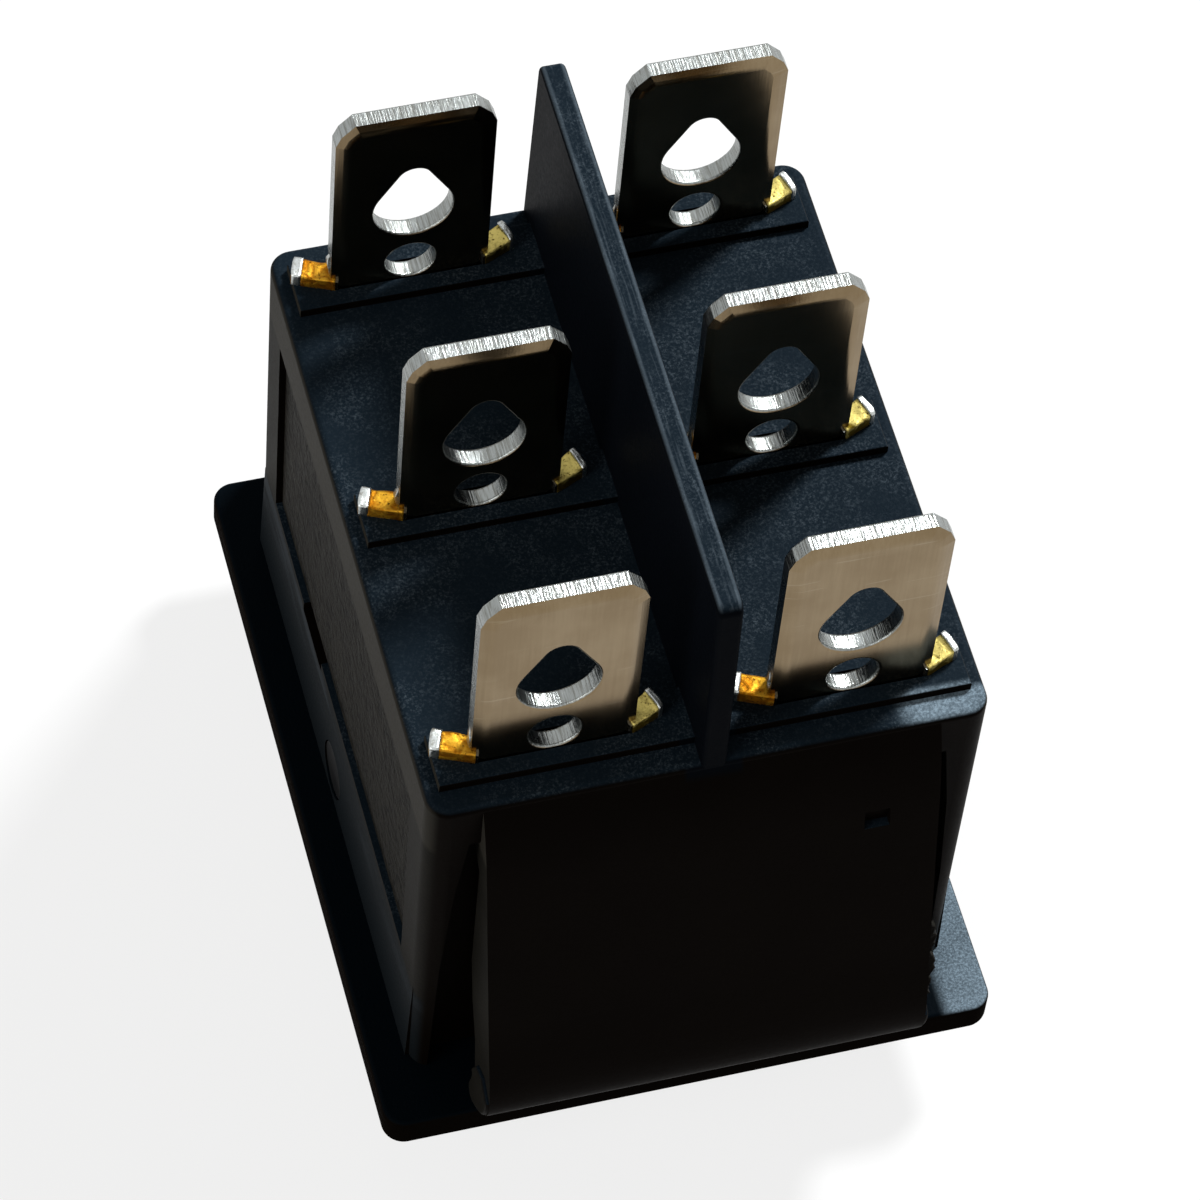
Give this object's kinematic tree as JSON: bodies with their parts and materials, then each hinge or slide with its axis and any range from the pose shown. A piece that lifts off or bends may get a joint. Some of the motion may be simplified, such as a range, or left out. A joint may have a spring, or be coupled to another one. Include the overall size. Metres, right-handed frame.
{
  "type": "rocker switch",
  "caption": "Black snap-in double-pole changeover rocker switch with a bezel, sprung side wings, a barrier wall and flat solder and push-on blade terminals.",
  "frame": {"origin": "centre of the bezel's back face, the plane that seats on the panel", "axes": "+Z towards the terminals, out of the panel's back; +Y along the long side; +X across the short side"},
  "size_m": [0.025, 0.0342, 0.0343],
  "materials": {
    "black_plastic": "fine moulded texture",
    "rocker_plastic": "satin moulded",
    "plated_brass": "nickel plated, sheared edges bare at the ears",
    "lever_brass": "rolled strip",
    "contact_silver": "bright contact metal",
    "plunger_nylon": "natural moulded",
    "spring_steel": "drawn wire"
  },
  "bodies": {
    "housing": {"housing": "black_plastic", "terminal_left_rear": "plated_brass", "terminal_left_centre": "plated_brass", "terminal_left_front": "plated_brass", "fixed_contact_left_rear": "contact_silver", "fixed_contact_left_front": "contact_silver", "terminal_right_rear": "plated_brass", "terminal_right_centre": "plated_brass", "terminal_right_front": "plated_brass", "fixed_contact_right_rear": "contact_silver", "fixed_contact_right_front": "contact_silver"},
    "rocker": {"rocker": "rocker_plastic", "plunger_spring_left": "spring_steel", "plunger_spring_right": "spring_steel"},
    "lever_left": {"contact_lever_left": "lever_brass", "moving_contact_left_rear": "contact_silver", "moving_contact_left_front": "contact_silver"},
    "plunger_left": {"plunger_left": "plunger_nylon"},
    "lever_right": {"contact_lever_right": "lever_brass", "moving_contact_right_rear": "contact_silver", "moving_contact_right_front": "contact_silver"},
    "plunger_right": {"plunger_right": "plunger_nylon"}
  },
  "joints": [
    {"name": "rocker_tilt", "type": "hinge", "parent": "housing", "child": "rocker", "pos_m": [0, 0, 0.0015], "axis": [1, 0, 0], "range_deg": [-10, 10]},
    {"name": "lever_tilt_left", "type": "hinge", "parent": "housing", "child": "lever_left", "pos_m": [-0.00575, 0, 0.0142], "axis": [1, 0, 0], "range_deg": [-8, 8]},
    {"name": "plunger_slide_left", "type": "slide", "parent": "rocker", "child": "plunger_left", "axis": [0, 0, 1], "range_m": [-0.0008, 0], "stiffness_N_per_m": 500, "springref_m": 0.0016, "deforming": ["plunger_spring_left"]},
    {"name": "lever_tilt_right", "type": "hinge", "parent": "housing", "child": "lever_right", "pos_m": [0.00575, 0, 0.0142], "axis": [1, 0, 0], "range_deg": [-8, 8]},
    {"name": "plunger_slide_right", "type": "slide", "parent": "rocker", "child": "plunger_right", "axis": [0, 0, 1], "range_m": [-0.0008, 0], "stiffness_N_per_m": 500, "springref_m": 0.0016, "deforming": ["plunger_spring_right"]}
  ],
  "couplings": [
    {"joint": "lever_tilt_left", "follows": "rocker_tilt", "ratio": -0.8},
    {"joint": "lever_tilt_right", "follows": "rocker_tilt", "ratio": -0.8}
  ]
}
